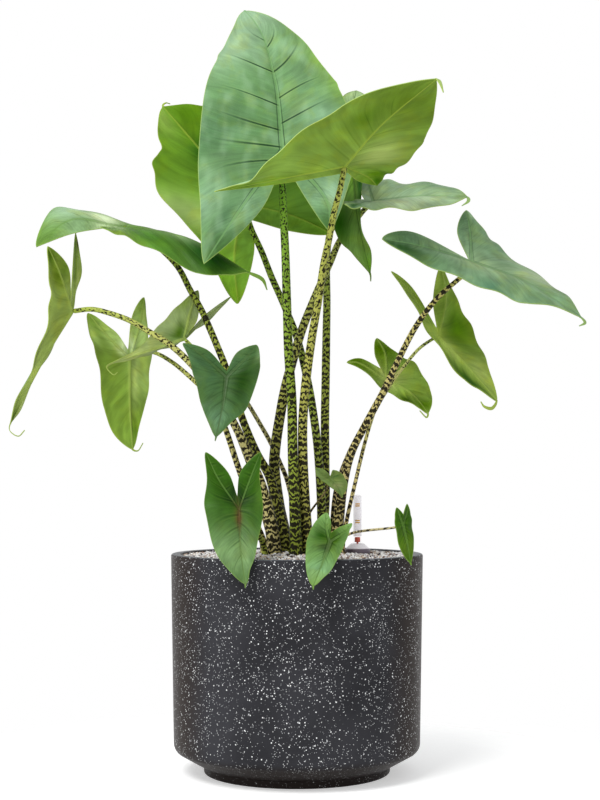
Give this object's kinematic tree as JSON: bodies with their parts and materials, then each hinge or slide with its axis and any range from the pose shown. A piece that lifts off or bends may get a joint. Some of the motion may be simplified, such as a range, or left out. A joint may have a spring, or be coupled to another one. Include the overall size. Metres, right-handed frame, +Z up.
{
  "type": "potted zebrina alocasia",
  "caption": "House plant with arrow-shaped leaves on banded petioles in a round dark terrazzo planter, with granular substrate and a water-level indicator.",
  "frame": {"origin": "middle of the planter's flat foot, on the surface it stands on", "axes": "+Z up along the planter's axis; -Y faces the picture's camera; +X to the right in the picture"},
  "size_m": [0.6634, 0.3762, 0.9261],
  "materials": {
    "leaf_silver": "satin",
    "leaf_sunlit": "satin",
    "leaf_green": "satin",
    "leaf_olive": "satin",
    "leaf_dark": "satin",
    "petiole": "satin",
    "terrazzo": "matte",
    "granules": "matte",
    "rhizome": "matte",
    "indicator_black": "satin",
    "indicator_clear": "gloss",
    "indicator_red": "satin"
  },
  "bodies": {
    "root": {"crown_blade": "leaf_silver", "canopy_blade": "leaf_sunlit", "back_blade": "leaf_sunlit", "shelf_blade": "leaf_silver", "hanging_blade": "leaf_dark", "left_high_blade": "leaf_green", "right_high_blade": "leaf_silver", "far_left_blade": "leaf_olive", "left_low_blade": "leaf_olive", "left_inner_blade": "leaf_olive", "right_inner_blade": "leaf_olive", "right_low_blade": "leaf_olive", "shield_blade": "leaf_dark", "apron_blade": "leaf_green", "lip_blade": "leaf_green", "rim_leaf_blade": "leaf_green", "bud_blade": "leaf_dark", "crown_petiole": "petiole", "canopy_petiole": "petiole", "back_petiole": "petiole", "shelf_petiole": "petiole", "hanging_petiole": "petiole", "left_high_petiole": "petiole", "right_high_petiole": "petiole", "far_left_petiole": "petiole", "left_low_petiole": "petiole", "left_inner_petiole": "petiole", "right_inner_petiole": "petiole", "right_low_petiole": "petiole", "shield_petiole": "petiole", "apron_petiole": "petiole", "lip_petiole": "petiole", "rim_leaf_petiole": "petiole", "bud_petiole": "petiole", "planter": "terrazzo", "substrate": "granules", "rhizome": "rhizome", "indicator_shaft": "indicator_black", "indicator_tube": "indicator_clear", "indicator_float": "indicator_red"}
  },
  "joints": []
}
